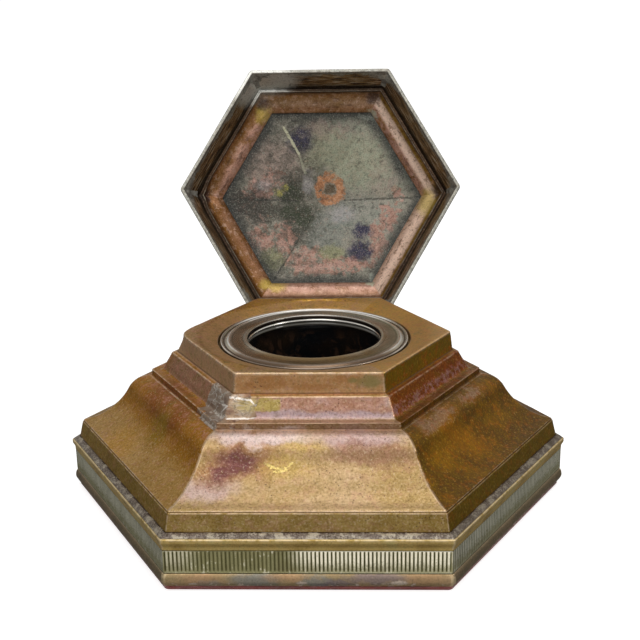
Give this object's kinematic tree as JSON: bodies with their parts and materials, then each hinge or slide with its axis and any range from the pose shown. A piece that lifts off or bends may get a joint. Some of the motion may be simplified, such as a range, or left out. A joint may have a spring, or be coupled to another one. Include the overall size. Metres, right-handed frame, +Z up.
{
  "type": "inkwell",
  "caption": "Hexagonal brass desk inkwell with a stepped, swept body on a fluted plinth, a hinged lid and a lift-out glass in a round collar.",
  "frame": {"origin": "centre of the underside, where the inkwell stands", "axes": "+Z up; -Y towards the front flat side, the hinge along X at the rear (+Y); two corners of the hexagon lie on the X axis"},
  "size_m": [0.1524, 0.1584, 0.1189],
  "materials": {
    "baize": "worn felt",
    "plinth_brass": "aged satin",
    "band_brass": "aged satin, milled",
    "solder": "dull, rough",
    "body_brass": "aged satin",
    "hinge_brass": "aged satin",
    "hinge_pin": "dull",
    "lid_brass": "aged, tarnished",
    "lid_cap_brass": "tarnished, mottled",
    "collar_metal": "silvered, worn",
    "ink_glass": "ink stained, glossy",
    "cement": "dull"
  },
  "bodies": {
    "well_body": {"baize_pad": "baize", "base_plate": "plinth_brass", "plinth_lower_moulding": "plinth_brass", "plinth_upper_moulding": "plinth_brass", "fluted_band_front": "band_brass", "fluted_band_front_right": "band_brass", "fluted_band_rear_right": "band_brass", "fluted_band_rear": "band_brass", "fluted_band_rear_left": "band_brass", "fluted_band_front_left": "band_brass", "plinth_solder_bead": "solder", "body_panel_front": "body_brass", "body_panel_front_right": "body_brass", "body_panel_rear_right": "body_brass", "body_panel_rear": "body_brass", "body_panel_rear_left": "body_brass", "body_panel_front_left": "body_brass", "top_plate": "body_brass", "collar_seat": "body_brass", "hinge_body_leaf": "hinge_brass", "hinge_pin": "hinge_pin"},
    "lid": {"lid_skirt_front": "lid_brass", "lid_skirt_front_right": "lid_brass", "lid_skirt_rear_right": "lid_brass", "lid_skirt_rear": "lid_brass", "lid_skirt_rear_left": "lid_brass", "lid_skirt_front_left": "lid_brass", "lid_ogee_front": "lid_brass", "lid_ogee_front_right": "lid_brass", "lid_ogee_rear_right": "lid_brass", "lid_ogee_rear": "lid_brass", "lid_ogee_rear_left": "lid_brass", "lid_ogee_front_left": "lid_brass", "lid_cap_front": "lid_cap_brass", "lid_cap_front_right": "lid_cap_brass", "lid_cap_rear_right": "lid_cap_brass", "lid_cap_rear": "lid_cap_brass", "lid_cap_rear_left": "lid_cap_brass", "lid_cap_front_left": "lid_cap_brass", "hinge_lid_leaf": "hinge_brass"},
    "liner": {"collar_ring": "collar_metal", "ink_glass": "ink_glass", "glass_cement": "cement"}
  },
  "joints": [
    {"name": "lid_hinge", "type": "hinge", "parent": "well_body", "child": "lid", "pos_m": [0, 0.0456, 0.0386], "axis": [-1, 0, 0], "range_deg": [-113.3, 0]},
    {"name": "liner_lift", "type": "slide", "parent": "well_body", "child": "liner", "axis": [0, 0, 1], "range_m": [0, 0.06]}
  ]
}
